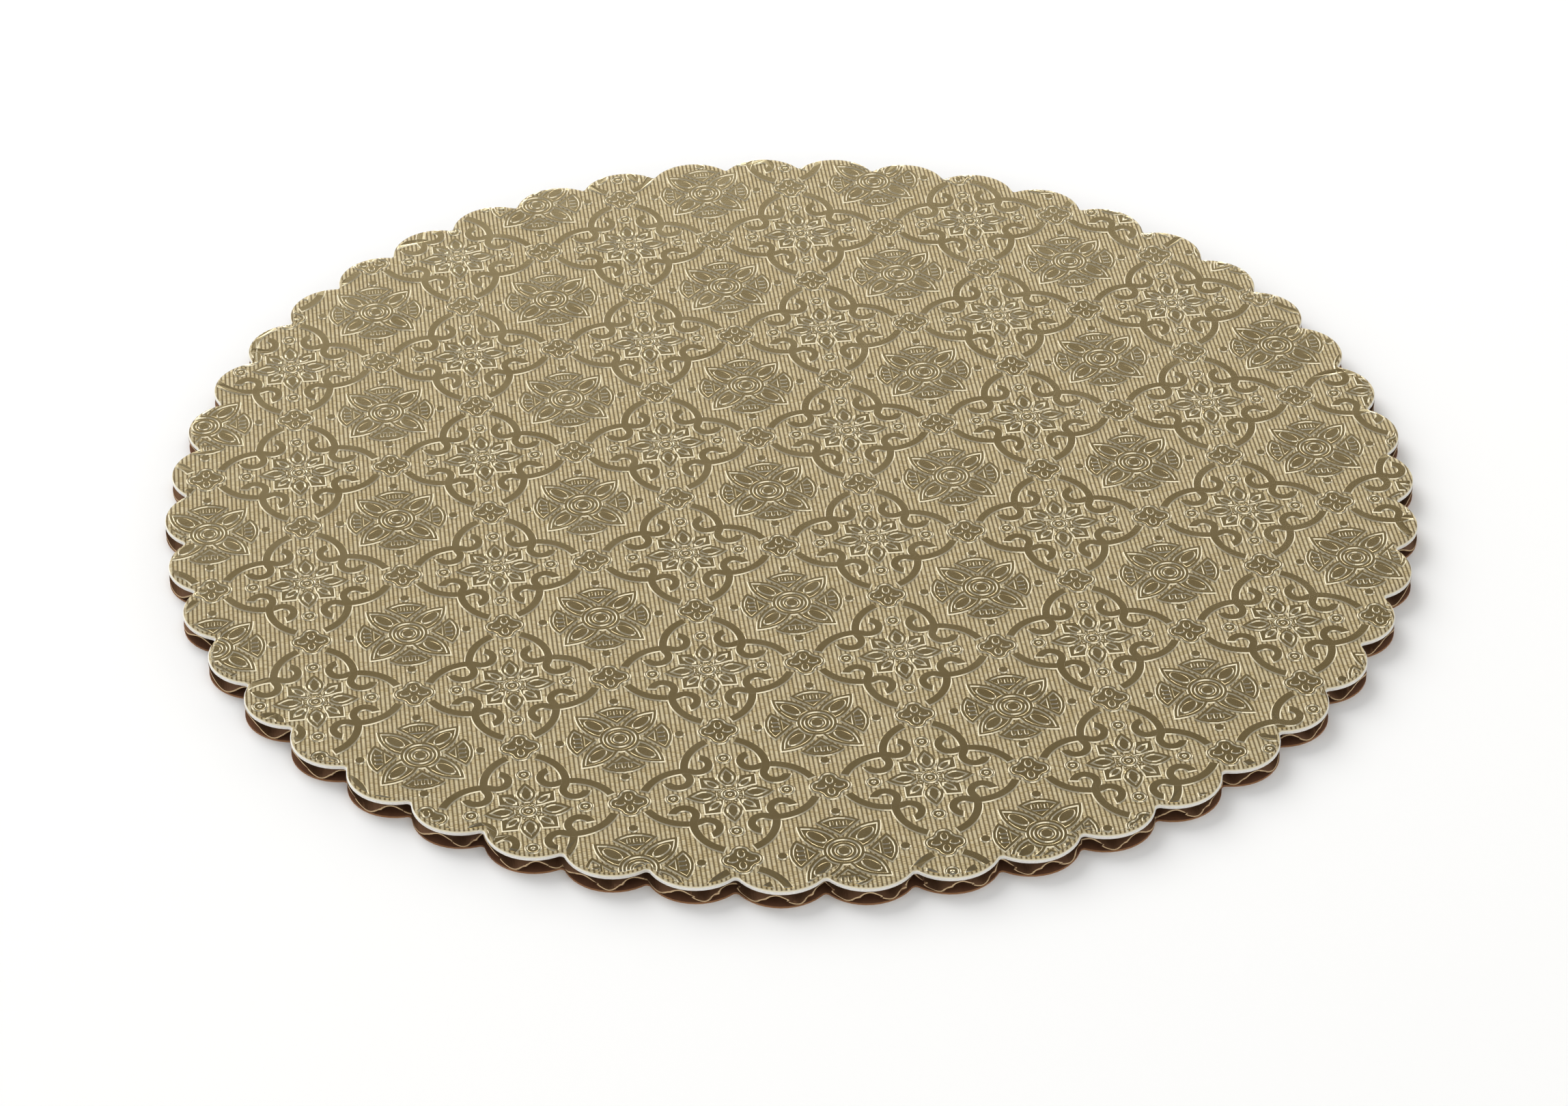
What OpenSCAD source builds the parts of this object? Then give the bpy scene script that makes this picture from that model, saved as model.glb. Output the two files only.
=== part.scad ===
// Scalloped corrugated cake board: a gold foil face on a white facing,
// a fluted medium glued between the facing and a kraft bottom liner.
// Origin at the middle of the underside, +Z up, flutes along Y.

/* [Board] */
// Size over the tips of the scallops
board_d = 228.6; // [150:0.1:360]
// Number of scallops round the edge
scallop_count = 47; // [24:1:72]
// Depth from a scallop's tip to the notch beside it
scallop_depth = 3.8; // [2.2:0.1:5]
// Turn of the scallops from the flutes, in degrees
scallop_turn = 1.53; // [0:0.01:7.5]

/* [Foil face] */
// Height of the gold foil over its embossing
foil_t = 0.3; // [0.1:0.01:0.6]
// Laminating adhesive between the foil and the facing
adhesive_t = 0.05; // [0.02:0.01:0.15]

/* [Corrugated core] */
// White facing board under the foil
facing_t = 0.45; // [0.2:0.01:1]
// Kraft liner on the underside
liner_t = 0.35; // [0.15:0.01:0.8]
// Sheet thickness of the fluted medium
medium_t = 0.25; // [0.12:0.01:0.4]
// Height of the fluted medium over its crests
flute_h = 2.7; // [2:0.05:3.6]
// Distance from one crest to the next
flute_pitch = 7.68; // [6.4:0.01:9.5]
// Place along X of the trough next to the middle
flute_shift = 2.55; // [0:0.05:3.8]

/* [Glue lines] */
// Width of the starch glue line along each crest
glue_w = 1.6; // [0.6:0.1:1.8]
// Thickness of the glue at the very top of a crest
glue_t = 0.04; // [0.02:0.01:0.1]

/* [Hidden] */
$fn = 96;

// Levels, from the table upwards
medium_z = liner_t + glue_t;
facing_z = medium_z + flute_h + glue_t;
adhesive_z = facing_z + facing_t;
foil_z = adhesive_z + adhesive_t;
board_h = foil_z + foil_t;

// A scallop is an arc through its tip and the notches on both sides
tip_r = board_d / 2;
notch_r = tip_r - scallop_depth;
scallop_step = 360 / scallop_count;
scallop_c = (pow(tip_r, 2) - pow(notch_r, 2)) / (2 * (tip_r - notch_r * cos(scallop_step / 2)));
scallop_r = tip_r - scallop_c;

// The medium is a wave of flat strips, so many to each flute
flute_strips = 16;
wave_h = flute_h - medium_t;
flutes = ceil(tip_r / flute_pitch) + 1;

// Middle of the sheet at a turn of so many degrees from a trough
function wave_x(turn) = flute_shift + flute_pitch * turn / 360;
function wave_z(turn) = medium_z + medium_t / 2 + wave_h * (1 - cos(turn)) / 2;
function wave_slope(turn) = atan(PI * wave_h * sin(turn) / flute_pitch);

// A point of one face of the sheet, square to its middle
function sheet_point(turn, side) =
    [wave_x(turn) - side * medium_t / 2 * sin(wave_slope(turn)),
     wave_z(turn) + side * medium_t / 2 * cos(wave_slope(turn))];

// Outline of every flat layer
module scalloped_outline() {
    circle(r = scallop_c);
    for (i = [0 : scallop_count - 1])
        rotate(scallop_turn + i * scallop_step) translate([scallop_c, 0]) circle(r = scallop_r);
}

// One flat layer of the board
module layer(z, t) {
    translate([0, 0, z]) linear_extrude(t) scalloped_outline();
}

// A section drawn in the X-Z plane, run along Y past both edges
module run_along_flutes() {
    translate([0, tip_r + 1, 0]) rotate([90, 0, 0]) linear_extrude(board_d + 2) children();
}

// Section of the fluted sheet: its upper face one way, its lower face back
module sheet_section() {
    strip = 360 / flute_strips;
    last = 360 * flutes;
    polygon([for (turn = [-last : strip : last]) sheet_point(turn, 1),
             for (turn = [last : -strip : -last]) sheet_point(turn, -1)]);
}

// Glue under each trough, or over each crest when turn is 180 and side is 1
module glue_sections(turn, side) {
    difference() {
        for (i = [-flutes : flutes])
            if (abs(wave_x(turn + 360 * i)) < notch_r - glue_w)
                translate([wave_x(turn + 360 * i), wave_z(turn) + side * medium_t / 2])
                    polygon([[-glue_w / 2, side * glue_t], [glue_w / 2, side * glue_t],
                             [glue_w / 4, -side * medium_t / 2], [-glue_w / 4, -side * medium_t / 2]]);
        sheet_section();
    }
}

// Glue lines along the flutes, which stop short of the scallops
module glue_lines(turn, side) {
    color("#e3d9bd") intersection() {
        run_along_flutes() glue_sections(turn, side);
        cylinder(r = notch_r, h = board_h);
    }
}

module gold_foil() {
    color("#d9c58a") layer(foil_z, foil_t);
}

module laminating_adhesive() {
    color("#efe9d6") layer(adhesive_z, adhesive_t);
}

module white_facing() {
    color("#e9e7e2") layer(facing_z, facing_t);
}

module upper_glue_lines() {
    glue_lines(180, 1);
}

module fluted_medium() {
    color("#a98a66") intersection() {
        run_along_flutes() sheet_section();
        layer(0, board_h);
    }
}

module lower_glue_lines() {
    glue_lines(0, -1);
}

module bottom_liner() {
    color("#8a5f45") layer(0, liner_t);
}

gold_foil();
laminating_adhesive();
white_facing();
upper_glue_lines();
fluted_medium();
lower_glue_lines();
bottom_liner();
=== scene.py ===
import math

import bmesh
import bpy
from mathutils import Matrix, Vector, noise


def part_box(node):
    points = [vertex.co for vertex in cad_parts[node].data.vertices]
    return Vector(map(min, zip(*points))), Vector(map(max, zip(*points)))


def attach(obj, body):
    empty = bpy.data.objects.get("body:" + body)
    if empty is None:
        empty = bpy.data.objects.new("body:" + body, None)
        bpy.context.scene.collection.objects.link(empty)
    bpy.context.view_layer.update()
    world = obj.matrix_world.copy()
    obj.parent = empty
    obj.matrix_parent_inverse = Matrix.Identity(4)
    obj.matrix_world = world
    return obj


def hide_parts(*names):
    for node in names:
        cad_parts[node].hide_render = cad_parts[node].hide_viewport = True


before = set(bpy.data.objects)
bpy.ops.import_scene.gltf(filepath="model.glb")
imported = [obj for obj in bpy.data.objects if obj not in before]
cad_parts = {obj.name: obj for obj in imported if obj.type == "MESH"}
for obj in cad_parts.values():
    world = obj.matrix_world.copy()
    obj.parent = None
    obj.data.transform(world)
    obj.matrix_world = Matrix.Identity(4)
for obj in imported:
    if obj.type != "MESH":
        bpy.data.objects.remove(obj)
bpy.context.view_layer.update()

# ---------------------------------------------------------------------------
# Bottom liner: the kraft sheet that lies on the table, glued to the troughs of
# the flutes. It is die cut with the rest of the board, in the same scallops, so
# its edge is bare brown paper pulp.

SCALLOPS = 47
SCALLOP_TURN = math.radians(1.53)
SCALLOP_STEP = math.tau / SCALLOPS
# A hair inside the nominal radii, so that no sheet stands out of the others
TIP_RADIUS = 114.298
NOTCH_RADIUS = 110.498
ARC_CENTRE = (TIP_RADIUS ** 2 - NOTCH_RADIUS ** 2) / (
    2 * (TIP_RADIUS - NOTCH_RADIUS * math.cos(SCALLOP_STEP / 2)))
ARC_RADIUS = TIP_RADIUS - ARC_CENTRE
ARC_SPREAD = math.atan2(NOTCH_RADIUS * math.sin(SCALLOP_STEP / 2),
                        NOTCH_RADIUS * math.cos(SCALLOP_STEP / 2) - ARC_CENTRE)
ARC_STEPS = 14
# The cutting rule can't be bent sharper than this at a notch
NOTCH_ROUNDING = 1.0
# A point this near the outline was made by the cutting die
CUT_REACH = 0.05


def linear(code):
    """A colour written as an sRGB hex value, as the shaders need it."""
    shares = [int(code[i:i + 2], 16) / 255 for i in (1, 3, 5)]
    return [s / 12.92 if s <= 0.04045 else ((s + 0.055) / 1.055) ** 2.4 for s in shares] + [1.0]


def node(material, kind, settings=(), links=()):
    """Adds one shader node, with its settings and the links into its sockets."""
    tree = material.node_tree
    made = tree.nodes.new(kind)
    for name, value in dict(settings).items():
        if isinstance(name, str) and hasattr(made, name):
            setattr(made, name, value)
        else:
            made.inputs[name].default_value = value
    for socket, source in dict(links).items():
        tree.links.new(source, made.inputs[socket])
    return made


def new_material(name):
    """An empty material with only its output."""
    material = bpy.data.materials.new(name)
    material.use_nodes = True
    material.node_tree.nodes.clear()
    return material


def scalloped_face(bm, draw_in=0.0):
    """One flat face in the outline of the board, facing up, in millimetres."""
    reach = ARC_RADIUS - draw_in
    half = SCALLOP_STEP / 2
    # Where this arc crosses the line to the next scallop
    across = ARC_CENTRE * math.sin(half)
    notch = ARC_CENTRE * math.cos(half) + math.sqrt(reach ** 2 - across ** 2)
    spread = math.atan2(notch * math.sin(half), notch * math.cos(half) - ARC_CENTRE)
    start = bm.verts.new((notch * math.cos(half), -notch * math.sin(half), 0))
    bmesh.ops.spin(bm, geom=[start], cent=(ARC_CENTRE, 0, 0), axis=(0, 0, 1),
                   angle=2 * spread, steps=ARC_STEPS)
    bmesh.ops.spin(bm, geom=bm.verts[:] + bm.edges[:], cent=(0, 0, 0), axis=(0, 0, 1),
                   angle=math.tau - SCALLOP_STEP, steps=SCALLOPS - 1, use_duplicate=True)
    bmesh.ops.rotate(bm, cent=(0, 0, 0), matrix=Matrix.Rotation(SCALLOP_TURN, 3, "Z"),
                     verts=bm.verts)
    bmesh.ops.remove_doubles(bm, verts=bm.verts, dist=0.01)
    bmesh.ops.contextual_create(bm, geom=bm.edges[:])
    # The cutting rule is bent with a small radius at each notch
    notches = [v for v in bm.verts if v.co.xy.length < notch + 0.05]
    bmesh.ops.bevel(bm, geom=notches, affect="VERTICES", offset=NOTCH_ROUNDING, segments=4,
                    profile=0.5, material=-1, offset_type="OFFSET")
    face = bm.faces[:][0]
    face.normal_update()
    if face.normal.z < 0:
        face.normal_flip()
    return face


def edge_distance(x, y):
    """How far inside the scalloped edge a point lies, in millimetres."""
    turn = math.atan2(y, x) - SCALLOP_TURN
    turn -= round(turn / SCALLOP_STEP) * SCALLOP_STEP
    reach = math.hypot(x, y)
    along, across = reach * math.cos(turn), abs(reach * math.sin(turn))
    if math.atan2(across, along - ARC_CENTRE) <= ARC_SPREAD:
        return max(0.0, ARC_RADIUS - math.hypot(along - ARC_CENTRE, across))
    # Further in than the arc's own sector, the nearest edge is the notch
    half = SCALLOP_STEP / 2
    return math.hypot(along - NOTCH_RADIUS * math.cos(half), across - NOTCH_RADIUS * math.sin(half))


def mark_cut_faces(bm):
    """Gives the second material to the faces that the cutting die has made."""
    for face in bm.faces:
        upright = abs(face.normal.z) < 0.5
        if upright and all(edge_distance(v.co.x, v.co.y) < CUT_REACH for v in face.verts):
            face.material_index = 1


def finish_piece(bm, name, materials, replaced=()):
    """Makes a piece of a bmesh that is in millimetres, riding on the board."""
    bmesh.ops.scale(bm, vec=(0.001, 0.001, 0.001), verts=bm.verts)
    mesh = bpy.data.meshes.new(name)
    bm.to_mesh(mesh)
    bm.free()
    for material in materials:
        mesh.materials.append(material)
    piece = bpy.data.objects.new(name, mesh)
    bpy.context.scene.collection.objects.link(piece)
    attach(piece, "root")
    if replaced:
        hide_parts(*replaced)


def paper(name, colour, fibre, fleck, fibre_mm, roughness, relief_mm, strain=(1, 1, 1)):
    """Paper board: pulp fibres of the given length in two tones, with paler or darker clouds."""
    material = new_material(name)
    where = node(material, "ShaderNodeTexCoord")
    stretched = node(material, "ShaderNodeMapping", {"Scale": strain},
                     {"Vector": where.outputs["Object"]})
    fibres = node(material, "ShaderNodeTexNoise",
                  {"Scale": 1000 / fibre_mm, "Detail": 5.0, "Roughness": 0.65, "Distortion": 1.2},
                  {"Vector": stretched.outputs["Vector"]})
    # Uneven pulp shows as clouds about 14 mm across
    clouds = node(material, "ShaderNodeTexNoise", {"Scale": 1000 / 14, "Detail": 3.0},
                  {"Vector": where.outputs["Object"]})
    blend = node(material, "ShaderNodeMix",
                 {"data_type": "RGBA", 6: linear(colour), 7: linear(fibre)},
                 {0: fibres.outputs["Fac"]})
    shade = node(material, "ShaderNodeMapRange",
                 {"From Min": 0.55, "From Max": 0.75, "To Max": 0.6},
                 {"Value": clouds.outputs["Fac"]})
    tinted = node(material, "ShaderNodeMix",
                  {"data_type": "RGBA", 7: linear(fleck)},
                  {0: shade.outputs["Result"], 6: blend.outputs[2]})
    bump = node(material, "ShaderNodeBump", {"Strength": 1.0, "Distance": relief_mm / 1000},
                {"Height": fibres.outputs["Fac"]})
    shader = node(material, "ShaderNodeBsdfPrincipled",
                  {"Roughness": roughness, "IOR": 1.47, "Specular IOR Level": 0.25},
                  {"Base Color": tinted.outputs[2], "Normal": bump.outputs["Normal"]})
    node(material, "ShaderNodeOutputMaterial", {}, {"Surface": shader.outputs["BSDF"]})
    return material


# Kraft liner board: unbleached pulp pressed smooth, reddish brown with darker shives
kraft_liner = paper("kraft liner board", "#664230", "#845F45", "#4E3022",
                    fibre_mm=2.4, roughness=0.82, relief_mm=0.03, strain=(1.0, 0.35, 1.0))
# Its cut edge, where the bare fibres stand out a little paler
kraft_edge = paper("cut edge of the kraft liner", "#7E583C", "#98714F", "#5C3D2A",
                   fibre_mm=0.4, roughness=0.95, relief_mm=0.08)
liner_low, liner_high = (c.z * 1000 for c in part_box("bottom_liner"))
bm = bmesh.new()
scalloped_face(bm)
bmesh.ops.translate(bm, vec=(0, 0, liner_low), verts=bm.verts)
raised = bmesh.ops.extrude_face_region(bm, geom=bm.faces[:])["geom"]
bmesh.ops.translate(bm, vec=(0, 0, liner_high - liner_low),
                    verts=[g for g in raised if isinstance(g, bmesh.types.BMVert)])
bmesh.ops.recalc_face_normals(bm, faces=bm.faces)
bm.normal_update()
mark_cut_faces(bm)
finish_piece(bm, "kraft_liner_sheet", [kraft_liner, kraft_edge], ["bottom_liner"])

# ---------------------------------------------------------------------------
# Lower glue lines: corn starch glue rolled on the flute tips, dried to a dull
# cream film that fills the thin gap between each trough and the liner.

# Starch dries to a dull cream film, with no more than a faint grain
starch_glue = paper("dried corn starch glue", "#D8CBA6", "#E6DCC0", "#C9B98E",
                    fibre_mm=1.5, roughness=0.6, relief_mm=0.01)
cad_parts["lower_glue_lines"].data.materials.clear()
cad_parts["lower_glue_lines"].data.materials.append(starch_glue)

# ---------------------------------------------------------------------------
# Fluted medium: one sheet of recycled brown paper steamed into waves. The die
# that cuts the board crushes the last millimetres, so the wave tips sink and
# the walls between them buckle sideways at the cut.

CRUSH_WIDTH = 2.6
CRUSH_DEPTH = 0.3
BUCKLE = 0.42
FLUTE_PITCH = 7.68
FLUTE_SHIFT = 2.55
# Edges longer than this are halved in the crushed band and just beyond, so that it can bend
FINE_EDGE = 0.9
FINE_MARGIN = 0.3
# The paper's own unevenness where it is crushed
RIPPLE = 0.05

medium_low, medium_high = (c.z * 1000 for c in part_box("fluted_medium"))
bm = bmesh.new()
bm.from_mesh(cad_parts["fluted_medium"].data)
bmesh.ops.scale(bm, vec=(1000, 1000, 1000), verts=bm.verts)
bmesh.ops.remove_doubles(bm, verts=bm.verts, dist=0.002)
for _ in range(12):
    long_edges = []
    for e in bm.edges:
        if e.calc_length() < FINE_EDGE:
            continue
        a, b = (edge_distance(v.co.x, v.co.y) for v in e.verts)
        if min(a, b) < CRUSH_WIDTH + FINE_MARGIN:
            long_edges.append(e)
    if not long_edges:
        break
    bmesh.ops.subdivide_edges(bm, edges=long_edges, cuts=1, use_grid_fill=False)
bm.normal_update()
mark_cut_faces(bm)
for v in bm.verts:
    inside = edge_distance(v.co.x, v.co.y)
    if inside > CRUSH_WIDTH:
        continue
    pull = 1 - inside / CRUSH_WIDTH
    height = (v.co.z - medium_low) / (medium_high - medium_low)
    flute = math.floor((v.co.x - FLUTE_SHIFT) / (FLUTE_PITCH / 2) + 0.5)
    # Each half wave has a slow noise of its own, along its length
    own = noise.noise(Vector((flute * 3.7, v.co.y * 0.09, 5.0)))
    sideways = BUCKLE * pull ** 1.5 * (1.0 + 1.2 * own)
    lean = 1 if flute % 2 else -1
    reach = v.co.xy.length
    # The walls buckle only where the cut crosses them, not where it runs along them
    across = abs(v.co.y) / reach
    v.co.x += (across ** 2 * lean * sideways * math.sin(math.pi * height)
               * math.cos(math.pi * (height - 0.35) * 1.6))
    # The wave never comes out past the cut line
    v.co.xy = v.co.xy * min(1.0, reach / v.co.xy.length)
    v.co.z -= (CRUSH_DEPTH * (1 + 0.6 * own)) * pull ** 2 * height
    v.co.z += RIPPLE * pull * noise.noise(Vector((v.co.x * 0.9, v.co.y * 0.9, 1.0))) * height
# Recycled medium: short brown fibres, soft and unsized, darker inside the flutes
kraft_medium = paper("recycled fluting paper", "#5F4330", "#7A5A40", "#4A3426",
                     fibre_mm=1.3, roughness=0.9, relief_mm=0.05, strain=(1.0, 0.5, 1.0))
# The same paper at the cut, paler where its torn fibres stand out, and paler still for a painted
# highlight
medium_edge_and_highlight = paper("cut edge of the fluting paper with painted highlight", "#B79C78", "#CDB592", "#8F7455",
                    fibre_mm=0.4, roughness=0.95, relief_mm=0.08)
finish_piece(bm, "crushed_fluted_medium", [kraft_medium, medium_edge_and_highlight],
             ["fluted_medium"])

# ---------------------------------------------------------------------------
# Upper glue lines: the same starch glue, between the wave tips and the facing,
# in one straight line along each crest.

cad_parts["upper_glue_lines"].data.materials.clear()
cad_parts["upper_glue_lines"].data.materials.append(starch_glue)

# ---------------------------------------------------------------------------
# White facing: the clay coated white liner under the foil. The die presses its
# rim down with the foil, and its cut edge is a bright line with torn fibres.

ROLL_WIDTH = 1.0
ROLL_DROP = 0.26
# Rings of faces from the rim inwards, so that the rim can curve down
ROLL_RINGS = (0.1, 0.15, 0.2, 0.25, 0.3, 0.4, 1.0)


def roll_drop(inside):
    """How far the die has pulled the top layers down, so far from the edge."""
    return ROLL_DROP * max(0.0, 1 - inside / ROLL_WIDTH) ** 2


def rolled_sheet(low, high, draw_in=0.0):
    """One flat layer of the board whose rim the die has pulled down."""
    bm = bmesh.new()
    face = scalloped_face(bm, draw_in)
    for width in ROLL_RINGS:
        bmesh.ops.inset_individual(bm, faces=[face], thickness=width, use_even_offset=True)
    bmesh.ops.translate(bm, vec=(0, 0, low), verts=bm.verts)
    raised = bmesh.ops.extrude_face_region(bm, geom=bm.faces[:])["geom"]
    top = [g for g in raised if isinstance(g, bmesh.types.BMVert)]
    bmesh.ops.translate(bm, vec=(0, 0, high - low), verts=top)
    bmesh.ops.recalc_face_normals(bm, faces=bm.faces)
    bm.normal_update()
    for face in bm.faces:
        face.material_index = int(abs(face.normal.z) < 0.5)
    for v in bm.verts:
        v.co.z -= roll_drop(edge_distance(v.co.x, v.co.y))
    return bm


facing_low, facing_high = (c.z * 1000 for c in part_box("white_facing"))
bm = rolled_sheet(facing_low, facing_high)
# Bleached white liner, dull and bright, and its cut edge, streaked with greyer fibres
white_board = paper("bleached white liner board", "#F1F0EC", "#DCD9D2", "#C7C2B8",
                    fibre_mm=0.6, roughness=0.7, relief_mm=0.04)
white_edge = paper("cut edge of the white liner", "#F4F3F0", "#C9C5BE", "#A9A197",
                   fibre_mm=0.35, roughness=0.95, relief_mm=0.12, strain=(1.0, 1.0, 0.5))
finish_piece(bm, "white_facing_rolled", [white_board, white_edge],
             ["white_facing"])

# ---------------------------------------------------------------------------
# Laminating adhesive: the thin film that holds the foil on the facing. It stops
# a tenth of a millimetre short of the cut, so it hardly shows at the rim.

adhesive_low, adhesive_high = (c.z * 1000 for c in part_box("laminating_adhesive"))
bm = rolled_sheet(adhesive_low, adhesive_high, draw_in=0.1)
# Water based laminating adhesive, dried clear to cream
film_glue = paper("laminating adhesive film", "#EFE9D8", "#E2DAC4", "#D8CFB6",
                  fibre_mm=0.8, roughness=0.45, relief_mm=0.01)
finish_piece(bm, "adhesive_film_rolled", [film_glue, film_glue],
             ["laminating_adhesive"])

# ---------------------------------------------------------------------------
# Gold foil, its ground: metallised film, laminated to the facing and then run
# between embossing rolls, which press a fine hatch of little pads all over it.
# The die rolls its rim down over the facing's edge.

foil_low, foil_high = (c.z * 1000 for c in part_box("gold_foil"))
RELIEF = 0.14
# The raised work ends a few thousandths of a millimetre under the nominal top
TOP_CLEARANCE = 0.005
ground_top = foil_high - RELIEF - TOP_CLEARANCE
# The hatch is made of columns of pads; its grooves slope in this far from each side
PAD_LENGTH = 0.6
PAD_WIDTH = 0.79
GROOVE_REACH = 0.3
GAP_REACH = 0.15
# Heights of the film's fine relief, in metres
GRAIN_HEIGHT = 0.000006
GROOVE_HEIGHT = 0.00003
PAD_HEIGHT = 0.00005
# The hatch scatters light, so it is duller than the smooth film of the figures
HATCHED_ROUGHNESS = (0.40, 0.48)
SMOOTH_ROUGHNESS = (0.13, 0.18)


def gold_film(name, hatched):
    """Aluminium metallised film under yellow lacquer, rolled bright but not a mirror."""
    material = new_material(name)
    where = node(material, "ShaderNodeTexCoord")
    cloud = node(material, "ShaderNodeTexNoise", {"Scale": 1000 / 9, "Detail": 4.0, "Roughness": 0.6},
                 {"Vector": where.outputs["Object"]})
    worn = node(material, "ShaderNodeTexNoise", {"Scale": 1000 / 30, "Detail": 6.0, "Roughness": 0.7},
                {"Vector": where.outputs["Object"]})
    low, high = HATCHED_ROUGHNESS if hatched else SMOOTH_ROUGHNESS
    dull = node(material, "ShaderNodeMapRange",
                {"From Min": 0.3, "From Max": 0.7, "To Min": low, "To Max": high},
                {"Value": cloud.outputs["Fac"]})
    tint = node(material, "ShaderNodeMix",
                {"data_type": "RGBA", 6: linear("#EFE4C6"), 7: linear("#E7DBBA")},
                {0: worn.outputs["Fac"]})
    # Grain of the rolled film, half a millimetre, left by the paper under it
    grain = node(material, "ShaderNodeTexNoise", {"Scale": 1000 / 0.5, "Detail": 2.0},
                 {"Vector": where.outputs["Object"]})
    bump = node(material, "ShaderNodeBump", {"Strength": 1.0, "Distance": GRAIN_HEIGHT},
                {"Height": grain.outputs["Fac"]})
    if hatched:
        # The columns run front to back, shifted so that no column's end falls on the board
        lengthways = node(material, "ShaderNodeMapping",
                          {"Rotation": (0, 0, math.radians(90)), "Location": (0.2, 0, 0)},
                          {"Vector": where.outputs["Object"]})
        # The columns' mortar colour is painted shade in the grooves between them
        columns = node(material, "ShaderNodeTexBrick",
                       {"offset": 0.0, "Scale": 1000.0, "Mortar Size": GROOVE_REACH,
                        "Mortar Smooth": 1.0, "Brick Width": 400.0, "Row Height": PAD_WIDTH,
                        "Color1": linear("#FFFFFF"), "Color2": linear("#FFFFFF"),
                        "Mortar": linear("#83755A")},
                       {"Vector": lengthways.outputs["Vector"]})
        # The pads' mortar colour is a faint painted shade in the gaps between them
        edges = node(material, "ShaderNodeTexBrick",
                     {"offset": 0.5, "Scale": 1000.0, "Mortar Size": GAP_REACH,
                      "Mortar Smooth": 1.0, "Brick Width": PAD_LENGTH, "Row Height": PAD_WIDTH,
                      "Color1": linear("#FFFFFF"), "Color2": linear("#E0D7C2"),
                      "Mortar": linear("#F6F1E6")},
                     {"Vector": lengthways.outputs["Vector"]})
        # Painted shade: darker in the grooves between the columns, and a touch darker in the gaps
        # between the pads; a little uneven from pad to pad as well
        for pattern in (columns, edges):
            tint = node(material, "ShaderNodeMix",
                        {"data_type": "RGBA", "blend_type": "MULTIPLY", 0: 1.0},
                        {6: tint.outputs[2], 7: pattern.outputs["Color"]})
        bump = node(material, "ShaderNodeBump",
                    {"Strength": 1.0, "Distance": GROOVE_HEIGHT, "invert": True},
                    {"Height": columns.outputs["Fac"], "Normal": bump.outputs["Normal"]})
        bump = node(material, "ShaderNodeBump",
                    {"Strength": 1.0, "Distance": PAD_HEIGHT, "invert": True},
                    {"Height": edges.outputs["Fac"], "Normal": bump.outputs["Normal"]})
    shader = node(material, "ShaderNodeBsdfPrincipled", {"Metallic": 1.0},
                  {"Base Color": tint.outputs[2], "Roughness": dull.outputs["Result"],
                   "Normal": bump.outputs["Normal"]})
    node(material, "ShaderNodeOutputMaterial", {}, {"Surface": shader.outputs["BSDF"]})
    return material


# The same film, hatched on the ground and left smooth on the figures
hatched_film = gold_film("hatched gold metallised film", True)
smooth_film = gold_film("smooth gold metallised film", False)

# The foil tears back a little from the cut, so the white facing shows round it
FOIL_SHORT = 0.18
bm = rolled_sheet(foil_low, ground_top, draw_in=FOIL_SHORT)
finish_piece(bm, "foil_ground", [hatched_film, smooth_film], ["gold_foil"])

# ---------------------------------------------------------------------------
# Gold foil, its raised work: smooth flat-topped figures that the embossing
# rolls leave standing above the hatch. First the round rosettes, each a boss
# with two rings, four pointed leaves, four fans and four dots.

# One square of the pattern, and the side of the square that the figures are drawn for
CELL_X = 34.00
CELL_Y = 34.44
DRAWN_CELL = 34.3
ROSETTE_AT = (-4.34, -1.19)
# No figure reaches further than this from its own place
FIGURE_REACH = 22
# Enough squares each way to cover the board from its middle
SQUARES = range(-5, 6)
# A figure starts below the ground it stands on, and its sunk parts end just above that ground
SINK = 0.03
SUNK = 0.012
FALL = RELIEF - SUNK
RISE = RELIEF + SINK
# The width of a figure's sloping side
SLOPE = 0.24
# The die flattens the raised work over the last half millimetre
RELIEF_SHORT = 0.55


def emboss(bm, outline, steps=((SLOPE, RISE),), lift=0.0):
    """A closed raised figure: its outline, then steps of (width, rise) inwards.

    The lift, a few thousandths, keeps the tops of overlapping figures out of one plane.
    """
    rim = [bm.verts.new((x, y, lift - SINK)) for x, y in outline]
    top = bm.faces.new(rim)
    top.normal_update()
    if top.normal.z < 0:
        top.normal_flip()
    under = rim if top.verts[0] == rim[0] and top.verts[1] == rim[1] else rim[::-1]
    for width, rise in steps:
        bmesh.ops.inset_individual(bm, faces=[top], thickness=width, depth=rise,
                                   use_even_offset=True)
    bm.faces.new(under[::-1])
    return top


def turned_figure(bm, profile, steps, at=(0, 0)):
    """A round figure: (radius, height) points spun round its own middle."""
    points = [bm.verts.new((at[0] + r, at[1], z)) for r, z in profile]
    edges = [bm.edges.new(pair) for pair in zip(points, points[1:])]
    bmesh.ops.spin(bm, geom=points + edges, cent=(at[0], at[1], 0), axis=(0, 0, 1),
                   angle=math.tau, steps=steps, use_merge=True)
    bmesh.ops.remove_doubles(bm, verts=bm.verts, dist=0.0005)


def arc(cx, cy, radius, start, end, steps):
    """Points on an arc, in degrees."""
    turns = [math.radians(start + (end - start) * i / steps) for i in range(steps + 1)]
    return [(cx + radius * math.cos(t), cy + radius * math.sin(t)) for t in turns]


def turned(points, quarter):
    """Points turned by so many quarter turns."""
    for _ in range(quarter):
        points = [(-y, x) for x, y in points]
    return points


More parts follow.
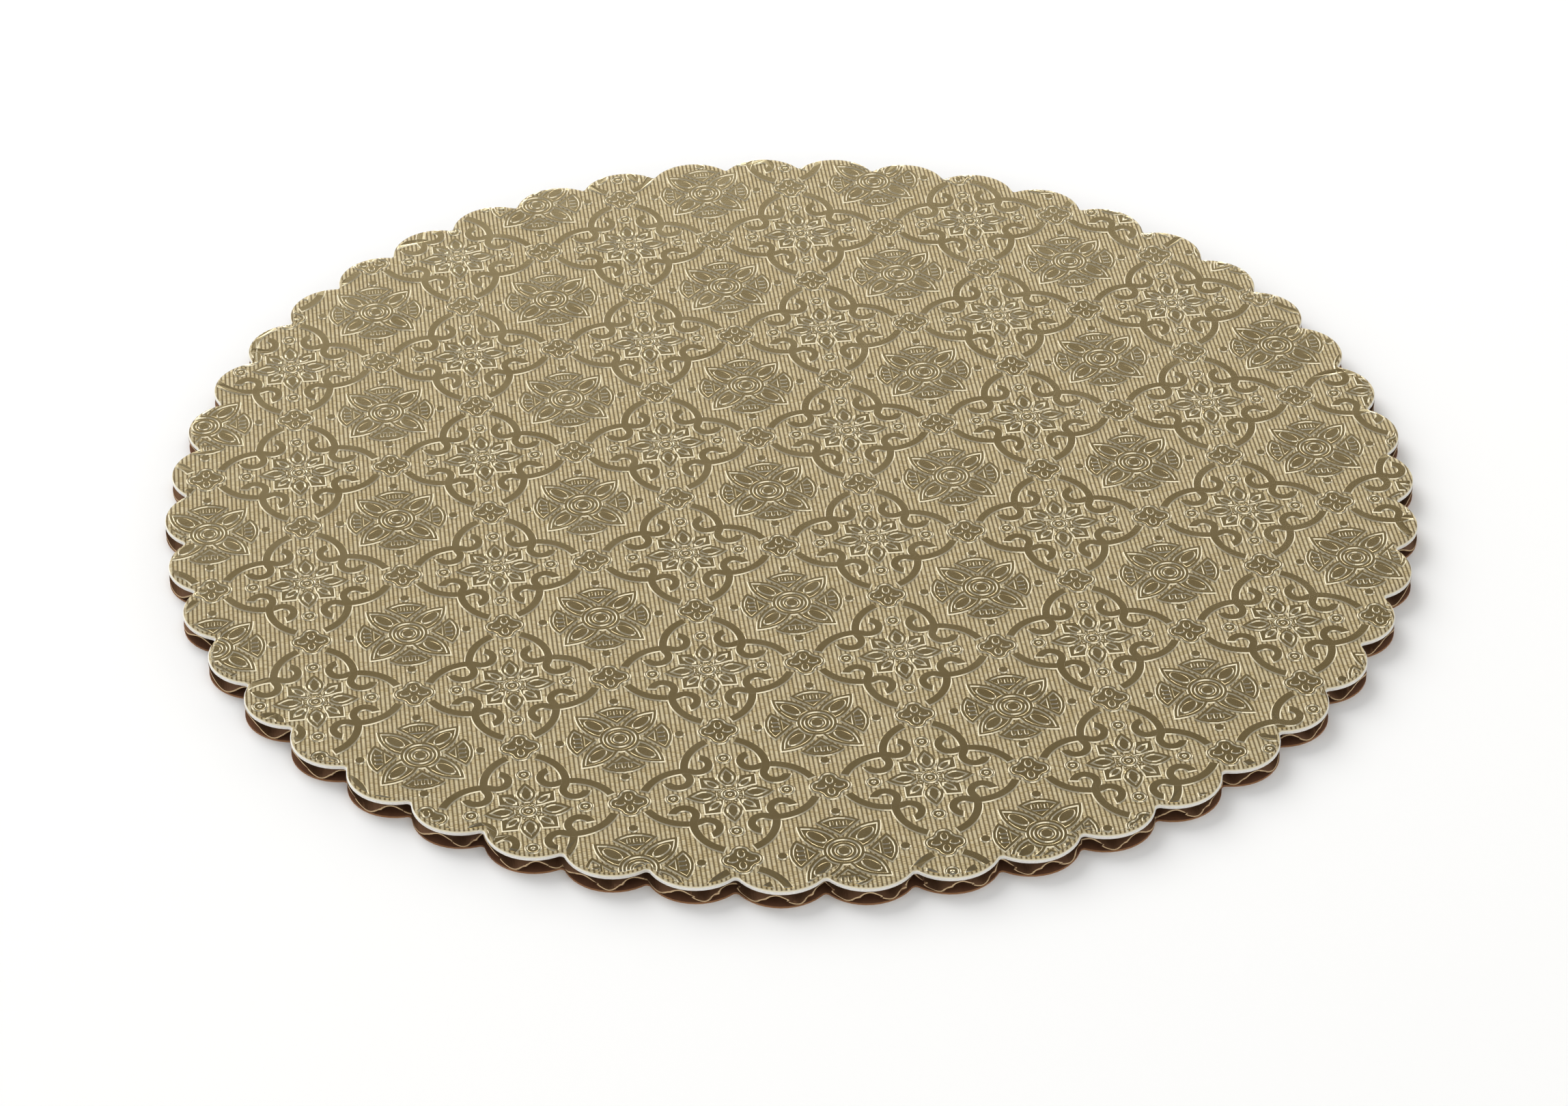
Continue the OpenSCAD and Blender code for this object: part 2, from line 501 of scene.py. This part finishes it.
def all_over(name, draw, offset):
    """Sets a drawn figure at every place of the pattern, cut at the board's edge."""
    one = bmesh.new()
    draw(one)
    bmesh.ops.recalc_face_normals(one, faces=one.faces)
    bmesh.ops.scale(one, vec=(CELL_X / DRAWN_CELL, CELL_Y / DRAWN_CELL, 1), verts=one.verts)
    single = bpy.data.meshes.new(name + " single")
    one.to_mesh(single)
    one.free()
    sheet = bmesh.new()
    for i in SQUARES:
        for j in SQUARES:
            x = ROSETTE_AT[0] + (i + offset[0]) * CELL_X
            y = ROSETTE_AT[1] + (j + offset[1]) * CELL_Y
            if math.hypot(x, y) > TIP_RADIUS + FIGURE_REACH:
                continue
            before = len(sheet.verts)
            sheet.from_mesh(single)
            sheet.verts.ensure_lookup_table()
            bmesh.ops.translate(sheet, vec=(x, y, ground_top), verts=sheet.verts[before:])
    # The die is a scalloped block that reaches well below and above the foil
    die = bmesh.new()
    scalloped_face(die, RELIEF_SHORT)
    bmesh.ops.translate(die, vec=(0, 0, -5), verts=die.verts)
    tall = bmesh.ops.extrude_face_region(die, geom=die.faces[:])["geom"]
    bmesh.ops.translate(die, vec=(0, 0, 15),
                        verts=[g for g in tall if isinstance(g, bmesh.types.BMVert)])
    bmesh.ops.recalc_face_normals(die, faces=die.faces)
    bmesh.ops.triangulate(die, faces=die.faces)
    parts = []
    for label, source in (("sheet", sheet), ("die", die)):
        mesh = bpy.data.meshes.new(name + " " + label)
        source.to_mesh(mesh)
        source.free()
        parts.append(bpy.data.objects.new(name + " " + label, mesh))
        bpy.context.scene.collection.objects.link(parts[-1])
    cut = parts[0].modifiers.new("die", "BOOLEAN")
    cut.operation = "INTERSECT"
    cut.solver = "MANIFOLD"
    cut.object = parts[1]
    bpy.context.view_layer.update()
    done = parts[0].evaluated_get(bpy.context.evaluated_depsgraph_get())
    bm = bmesh.new()
    bm.from_mesh(done.to_mesh())
    for part in parts:
        bpy.data.objects.remove(part)
    for v in bm.verts:
        v.co.z -= roll_drop(edge_distance(v.co.x, v.co.y))
    finish_piece(bm, name, [smooth_film])


LEAF_SIDE = [(2.15, 1.71), (2.55, 1.03), (2.73, 0.36), (3.5, 0.42), (4.7, 1.1), (5.7, 2.1),
             (6.5, 3.3), (7.0, 4.7), (7.23, 6.1), (7.3, 7.3)]


def draw_rosette(bm):
    """The boss and rings, then four leaves, four fans and four dots round them."""
    turned_figure(bm, [(0, RELIEF), (0.95, RELIEF), (1.14, SUNK), (1.42, SUNK), (1.6, RELIEF),
                       (2.1, RELIEF), (2.3, SUNK), (2.75, SUNK), (2.95, RELIEF),
                       (3.45, RELIEF), (3.65, SUNK), (3.65, -SINK), (0, -SINK)], 40)
    for quarter in range(4):
        leaf = LEAF_SIDE + [(y, x) for x, y in LEAF_SIDE[-2::-1]]
        emboss(bm, turned(leaf, quarter), ((SLOPE, RISE), (0.46, 0), (0.2, -FALL)), -0.002)
        # The leaf's pad is an oval of 2.15 by 1.15 mm, set on the diagonal
        pad = [(4.1 + 0.7071 * (2.15 * math.cos(t) - 1.15 * math.sin(t)),
                4.1 + 0.7071 * (2.15 * math.cos(t) + 1.15 * math.sin(t)))
               for t in [math.tau * i / 20 for i in range(20)]]
        emboss(bm, turned(pad, quarter), ((0.26, RISE),), -0.001)
        fan = [(3.75, 0)] + arc(3.6, 0, 5.7, -45, 45, 6)
        emboss(bm, turned(fan, quarter), ((0.22, RISE), (0.46, 0), (0.18, -FALL)), -0.004)
        bar = [(5.95, -1.75), (6.7, -1.95), (6.7, 1.95), (5.95, 1.75)]
        emboss(bm, turned(bar, quarter), ((0.18, RISE),), -0.006)
        for across in (-1.13, 0, 1.13):
            tip = arc(7.6, across, 0.4, -90, 90, 5)
            finger = [(6.4, across - 0.4)] + tip + [(6.4, across + 0.4)]
            emboss(bm, turned(finger, quarter), ((0.18, RISE),), -0.008)
        emboss(bm, turned(arc(10.35, 0, 1.05, 0, 330, 11), quarter))


all_over("foil_rosettes", draw_rosette, (0, 0))

# ---------------------------------------------------------------------------
# The daisies stand between four rosettes: an eye in a ring, a ring of pellets,
# eight petals with a sunk line in each, and four ringlets outside.

PETAL_SIDE = [(2.1, 0.55), (2.7, 1.1), (3.5, 1.62), (4.5, 1.87), (5.5, 1.62), (6.5, 1.08),
              (7.2, 0.52)]
CORNER_SIDE = [(1.5, 1.1), (2.6, 1.3), (3.8, 1.75), (4.9, 1.95), (4.93, 3.4)]
# The sunk line goes down and comes up again over these widths
GROOVE_STEPS = ((0.17, -0.1), (0.17, 0.1))


def emboss_with_groove(bm, outline, groove, lift=0.0):
    """A raised figure whose top is cut by a sunk line round a pad of its own."""
    top = emboss(bm, outline, ((SLOPE, RISE),), lift)
    edges = list(top.edges)
    height = top.verts[0].co.z
    bmesh.ops.delete(bm, geom=[top], context="FACES_ONLY")
    hole = [bm.verts.new((x, y, height)) for x, y in groove]
    pad = bm.faces.new(hole)
    pad.normal_update()
    if pad.normal.z < 0:
        pad.normal_flip()
    bmesh.ops.triangle_fill(bm, use_beauty=True, edges=edges + list(pad.edges), normal=(0, 0, 1))
    for width, rise in GROOVE_STEPS:
        bmesh.ops.inset_individual(bm, faces=[pad], thickness=width, depth=rise,
                                   use_even_offset=True)


def draw_daisy(bm):
    """The eye and its ring, four long petals, four square ones, and the ringlets."""
    turned_figure(bm, [(0, 0.1), (0.2, 0.08), (0.38, SUNK), (0.86, SUNK), (1.06, RELIEF),
                       (1.3, RELIEF), (1.55, 0.02), (2.3, 0.02), (2.3, -SINK), (0, -SINK)], 32)
    for k in range(20):
        turn = math.tau * (k + 0.5) / 20
        c, s = math.cos(turn), math.sin(turn)
        pellet = [(r * c - w * s, r * s + w * c)
                  for r, w in ((1.66, -0.2), (2.12, -0.24), (2.12, 0.24), (1.66, 0.2))]
        emboss(bm, pellet, ((0.1, RISE - 0.04),))
    for quarter in range(4):
        petal = PETAL_SIDE + [(7.8, 0)] + [(x, -y) for x, y in PETAL_SIDE[::-1]]
        groove = [(2.5, 0.0), (3.1, 0.72), (3.9, 1.08), (4.7, 1.12), (5.6, 0.75), (6.7, 0.0),
                  (5.6, -0.75), (4.7, -1.12), (3.9, -1.08), (3.1, -0.72)]
        emboss_with_groove(bm, turned(petal, quarter), turned(groove, quarter), -0.002)
        corner = CORNER_SIDE + [(4.95, 4.95)] + [(y, x) for x, y in CORNER_SIDE[::-1]]
        groove = [(1.75, 1.75), (2.55, 1.7), (3.45, 2.35), (3.85, 3.0), (4.1, 4.1),
                  (3.0, 3.85), (2.35, 3.45), (1.7, 2.55)]
        emboss_with_groove(bm, turned(corner, quarter), turned(groove, quarter), -0.004)
        at = turned([(9.69, 0)], quarter)[0]
        turned_figure(bm, [(0, 0.1), (0.2, 0.08), (0.42, SUNK), (0.92, SUNK), (1.12, RELIEF),
                           (1.28, RELIEF), (1.48, SUNK), (1.48, -SINK), (0, -SINK)], 20, at)


all_over("foil_daisies", draw_daisy, (0.5, 0.5))

# ---------------------------------------------------------------------------
# Between them run flat scrolls, each a long arm ending in a curl, and where
# four arms meet stands a little four-lobed flower with an oval in each lobe.

SCROLL_WIDTH = 1.88
SCROLL_START = (14.83, 2.73, 156.2)
SCROLL_ARCS = ((7.87, -66.2, 11), (3.0, -30.0, 4), (2.0, 200.0, 17))


def scroll_outline():
    """Both sides of a scroll, walked along its arcs of (radius, turn, steps)."""
    x, y, heading = SCROLL_START[0], SCROLL_START[1], math.radians(SCROLL_START[2])
    half = SCROLL_WIDTH / 2
    left = [(x - half * math.sin(heading), y + half * math.cos(heading))]
    right = [(x + half * math.sin(heading), y - half * math.cos(heading))]
    for radius, turn, steps in SCROLL_ARCS:
        side = 1 if turn > 0 else -1
        cx, cy = x - side * radius * math.sin(heading), y + side * radius * math.cos(heading)
        for _ in range(steps):
            heading += math.radians(turn) / steps
            x, y = cx + side * radius * math.sin(heading), cy - side * radius * math.cos(heading)
            left.append((x - half * math.sin(heading), y + half * math.cos(heading)))
            right.append((x + half * math.sin(heading), y - half * math.cos(heading)))
    return left + right[::-1]


def draw_scrolls(bm):
    """Eight scrolls round a rosette, and the two flowers that belong to it."""
    scroll = scroll_outline()
    for quarter in range(4):
        emboss(bm, turned(scroll, quarter), ((SLOPE, RISE),), -0.002)
        emboss(bm, turned([(x, -y) for x, y in scroll], quarter), ((SLOPE, RISE),), -0.005)
    half = DRAWN_CELL / 2
    for cx, cy in ((half, 0), (0, half)):
        flower = []
        for quarter in range(4):
            flower += turned(arc(1.88, 0, 1.9, -78, 78, 10), quarter)
        emboss(bm, [(cx + x, cy + y) for x, y in flower], ((0.26, RISE), (0.24, 0), (0.2, -FALL)))
        for ox, oy, rx, ry in ((0, 1.5, 0.72, 1.05), (0, -1.5, 0.72, 1.05),
                               (1.57, 0, 0.98, 0.7), (-1.57, 0, 0.98, 0.7)):
            oval = [(cx + ox + rx * math.cos(t), cy + oy + ry * math.sin(t))
                    for t in [math.tau * i / 14 for i in range(14)]]
            emboss(bm, oval, ((0.2, RISE),))


all_over("foil_scrolls", draw_scrolls, (0, 0))

# ---------------------------------------------------------------------------
# Floor: a plain pale sheet of paper that the board lies on. It belongs to the
# studio, not to the object.

bm = bmesh.new()
bmesh.ops.create_grid(bm, x_segments=1, y_segments=1, size=3.0)
floor_mesh = bpy.data.meshes.new("floor")
bm.to_mesh(floor_mesh)
bm.free()
floor = bpy.data.objects.new("floor", floor_mesh)
bpy.context.scene.collection.objects.link(floor)
pale = new_material("pale studio paper")
shader = node(pale, "ShaderNodeBsdfPrincipled",
              {"Base Color": linear("#F6F6F6"), "Roughness": 0.9, "Specular IOR Level": 0.1})
node(pale, "ShaderNodeOutputMaterial", {}, {"Surface": shader.outputs["BSDF"]})
floor_mesh.materials.append(pale)

# ---------------------------------------------------------------------------
# Light: one large soft box behind and above, and pale studio walls, which have
# a bright strip low down and a dark opening at the height that the flat foil
# mirrors.

box_light = bpy.data.lights.new("soft box", "AREA")
box_light.shape = "SQUARE"
box_light.size = 2.2
box_light.energy = 68.0
lamp = bpy.data.objects.new("soft box", box_light)
lamp.location = (-1.1, 2.2, 1.65)
lamp.rotation_euler = (-lamp.location).to_track_quat("-Z", "Y").to_euler()
# The soft box lights paper and floor only; the walls are what the foil mirrors
lamp.visible_glossy = False
bpy.context.scene.collection.objects.link(lamp)

walls = bpy.data.worlds.new("studio walls")
walls.use_nodes = True
walls.node_tree.nodes.clear()
way = node(walls, "ShaderNodeTexCoord")
# The walls lean by 7 degrees, so the bright strip stands a little higher on one side
tilted = node(walls, "ShaderNodeMapping", {"Rotation": (0, math.radians(-7), 0)},
              {"Vector": way.outputs["Generated"]})
direction = node(walls, "ShaderNodeSeparateXYZ", {}, {"Vector": tilted.outputs["Vector"]})
ramp = node(walls, "ShaderNodeValToRGB", {}, {"Fac": direction.outputs["Z"]})
# Height above the horizon, as its sine, and the colour of the wall there
stops = [(0.0, (1.05, 1.05, 1.03)), (0.17, (1.15, 1.15, 1.12)), (0.27, (3.6, 3.5, 3.1)),
         (0.36, (3.6, 3.46, 3.0)), (0.43, (0.86, 0.80, 0.64)), (0.50, (0.33, 0.285, 0.20)),
         (0.57, (0.20, 0.165, 0.105)), (0.70, (0.11, 0.088, 0.05)), (0.78, (0.15, 0.15, 0.16)),
         (0.85, (0.38, 0.40, 0.45)), (0.91, (1.05, 1.05, 1.05)), (1.0, (1.15, 1.15, 1.15))]
while len(ramp.color_ramp.elements) < len(stops):
    ramp.color_ramp.elements.new(0.5)
# Stops sort themselves when they are moved, so the colours follow once all are in place
for element, (place, _) in zip(ramp.color_ramp.elements, stops):
    element.position = place
for element, (_, colour) in zip(ramp.color_ramp.elements, stops):
    element.color = (*colour, 1)
# The dark opening behind is only so wide, from its middle out to where the wall is pale again
OPENING_MIDDLE = 0.1
OPENING_INNER = 0.24
OPENING_OUTER = 0.42
off_middle = node(walls, "ShaderNodeMath", {"operation": "SUBTRACT", 1: OPENING_MIDDLE},
                  {0: direction.outputs["X"]})
aside = node(walls, "ShaderNodeMath", {"operation": "ABSOLUTE"}, {0: off_middle.outputs["Value"]})
side = node(walls, "ShaderNodeMapRange", {"From Min": OPENING_INNER, "From Max": OPENING_OUTER},
            {"Value": aside.outputs["Value"]})
# The side walls are bright low down and dimmer further up
wall = node(walls, "ShaderNodeMapRange",
            {"From Min": 0.35, "From Max": 0.65, "To Min": 1.3, "To Max": 0.36},
            {"Value": direction.outputs["Z"]})
around = node(walls, "ShaderNodeMix", {"data_type": "RGBA"},
              {0: side.outputs["Result"], 6: ramp.outputs["Color"], 7: wall.outputs["Result"]})
glow = node(walls, "ShaderNodeBackground", {"Strength": 1.0}, {"Color": around.outputs[2]})
node(walls, "ShaderNodeOutputWorld", {}, {"Surface": glow.outputs["Background"]})
bpy.context.scene.world = walls
bpy.context.scene.view_settings.view_transform = "Standard"

# ---------------------------------------------------------------------------
# Camera: a long lens, looking down on the board from in front and a little from
# the left, rolled by half a degree.

camera_data = bpy.data.cameras.new("camera")
camera_data.sensor_width = 36.0
camera_data.lens = 107.954
camera_data.clip_start = 0.05
camera_data.clip_end = 20.0
camera = bpy.data.objects.new("camera", camera_data)
bpy.context.scene.collection.objects.link(camera)
camera.location = (-0.08526, -0.69667, 0.50486)
aim = Vector((-0.003877, -0.020808, 0.00393)) - camera.location
camera.rotation_mode = "QUATERNION"
level_view = aim.to_track_quat("-Z", "Y").to_matrix()
roll = Matrix.Rotation(math.radians(-0.4532), 3, "Z")
camera.rotation_quaternion = (level_view @ roll).to_quaternion()
bpy.context.scene.camera = camera
